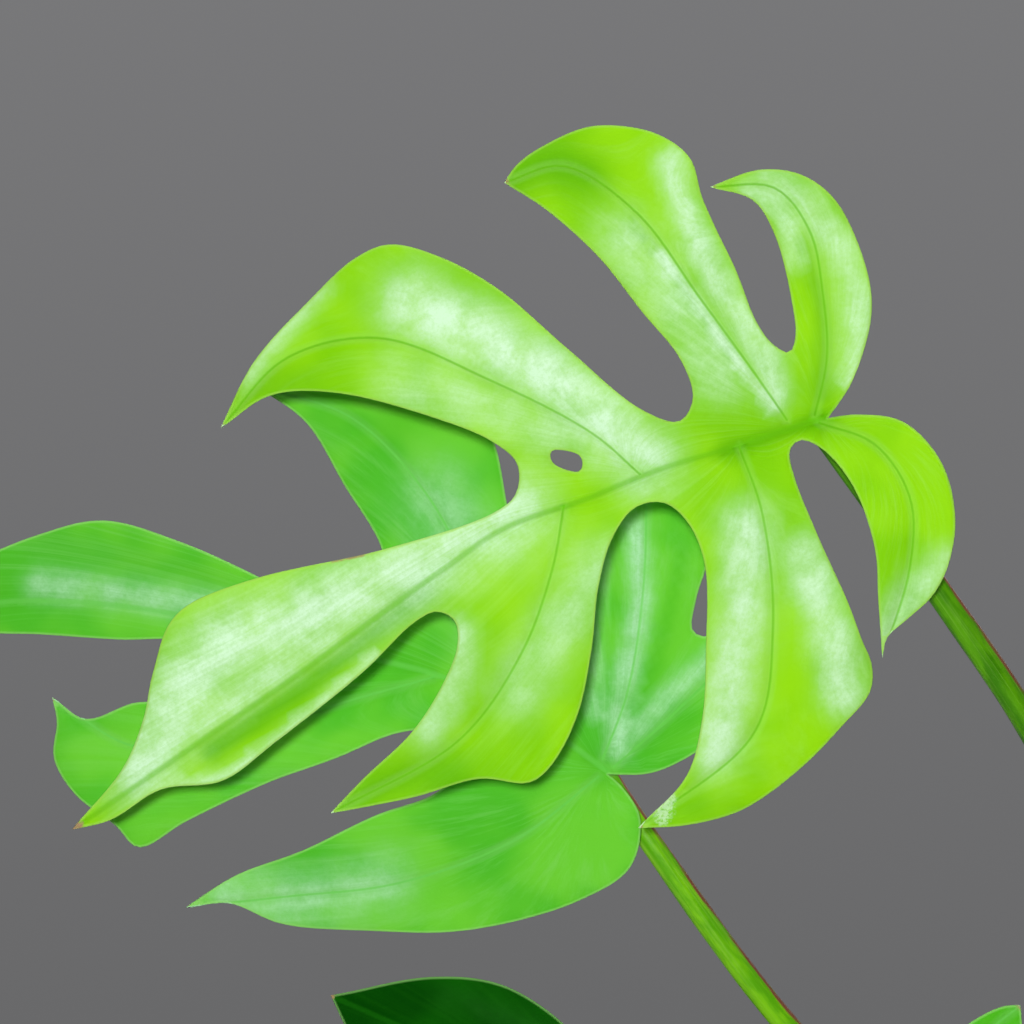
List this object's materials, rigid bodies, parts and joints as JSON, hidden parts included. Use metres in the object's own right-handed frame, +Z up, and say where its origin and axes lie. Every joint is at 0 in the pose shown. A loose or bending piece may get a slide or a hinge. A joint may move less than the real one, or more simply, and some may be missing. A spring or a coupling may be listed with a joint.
{
  "type": "potted mini monstera plant",
  "caption": "Young climbing plant with deeply split leaves on long stalks, a rolled new leaf and aerial roots, growing in soil in a plain round clay pot.",
  "frame": {"origin": "centre of the pot's flat underside", "axes": "+Z up along the pot's axis; -Y is the side that the leaves face; the largest leaves reach out towards -X"},
  "size_m": [0.483, 0.173, 0.4839],
  "materials": {
    "pot_clay": "matte",
    "potting_soil": "matte",
    "stem_green": "satin",
    "leaf_lime": "satin",
    "leaf_green": "satin",
    "leaf_deep_green": "satin",
    "stalk_green": "satin",
    "root_brown": "matte"
  },
  "bodies": {
    "root": {"pot": "pot_clay", "soil": "potting_soil", "stem": "stem_green", "new_leaf": "leaf_lime", "leaf_1": "leaf_green", "leaf_stalk_1": "stalk_green", "leaf_2": "leaf_deep_green", "leaf_stalk_2": "stalk_green", "leaf_3": "leaf_green", "leaf_stalk_3": "stalk_green", "leaf_4": "leaf_green", "leaf_stalk_4": "stalk_green", "leaf_5": "leaf_green", "leaf_stalk_5": "stalk_green", "leaf_6": "leaf_lime", "leaf_stalk_6": "stalk_green", "aerial_root_1": "root_brown", "aerial_root_2": "root_brown", "aerial_root_3": "root_brown"}
  },
  "joints": []
}
